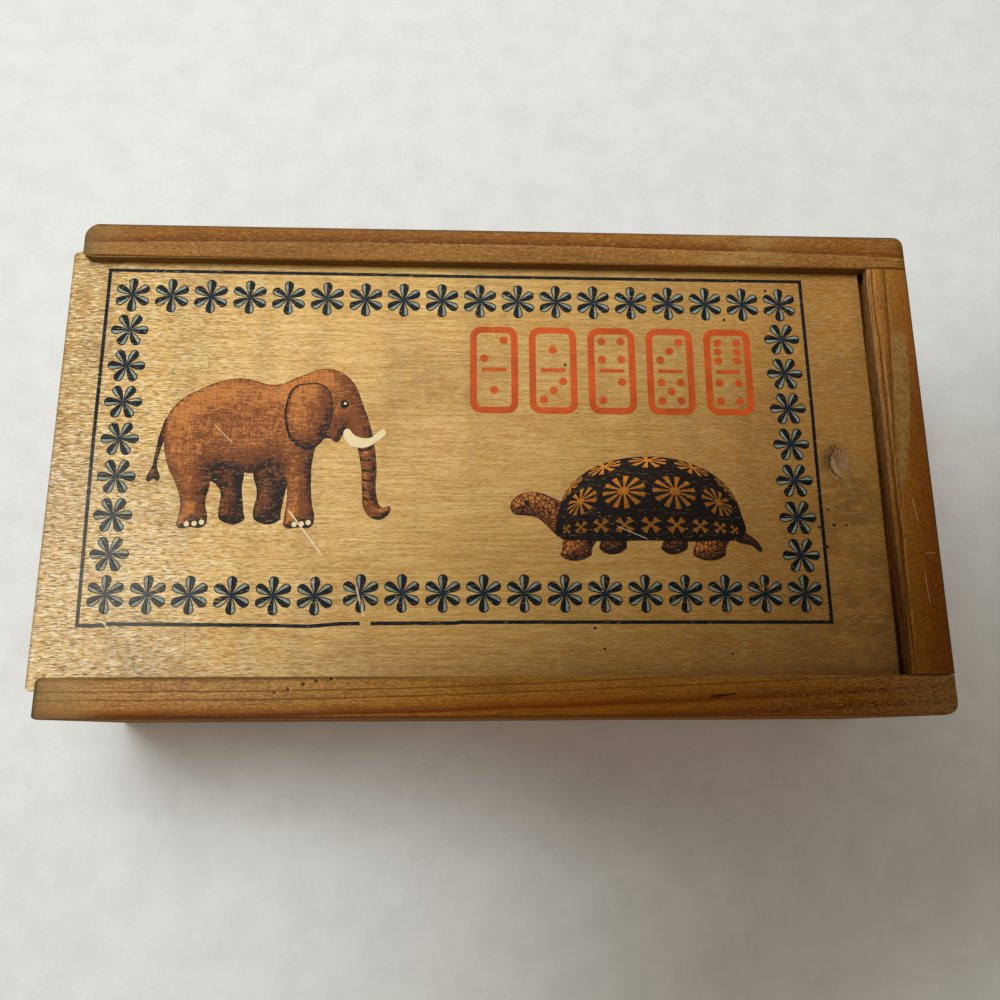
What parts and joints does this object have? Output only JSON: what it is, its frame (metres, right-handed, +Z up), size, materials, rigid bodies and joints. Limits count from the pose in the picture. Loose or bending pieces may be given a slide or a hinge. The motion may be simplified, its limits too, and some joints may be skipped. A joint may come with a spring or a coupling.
{
  "type": "domino storage box",
  "caption": "Shallow wooden case with a plywood lid that slides out of grooves over the lower end board; a nail nick near the lid's inner end opens it.",
  "frame": {"origin": "middle of the case's underside, on the surface it stands on", "axes": "+X along the case towards the full-height stop end, +Y towards the back rail, +Z up; the lid slides out towards -X"},
  "size_m": [0.188, 0.1076, 0.052],
  "materials": {
    "pine_rail": "aged pine under a thin satin varnish, grain along the rail",
    "pine_end": "aged pine under a thin satin varnish, grain across the case",
    "plywood_base": "bare three-ply, dull",
    "plywood_lid": null,
    "brad_steel": "dull steel wire"
  },
  "bodies": {
    "case": {"front_rail": "pine_rail", "back_rail": "pine_rail", "stop_end": "pine_end", "open_end": "pine_end", "base_panel": "plywood_base", "rail_brads": "brad_steel", "base_brads": "brad_steel"},
    "lid": {"sliding_lid": "plywood_lid"}
  },
  "joints": [
    {"name": "lid_slide", "type": "slide", "parent": "case", "child": "lid", "axis": [-1, 0, 0], "range_m": [-0.003, 0.176]}
  ]
}
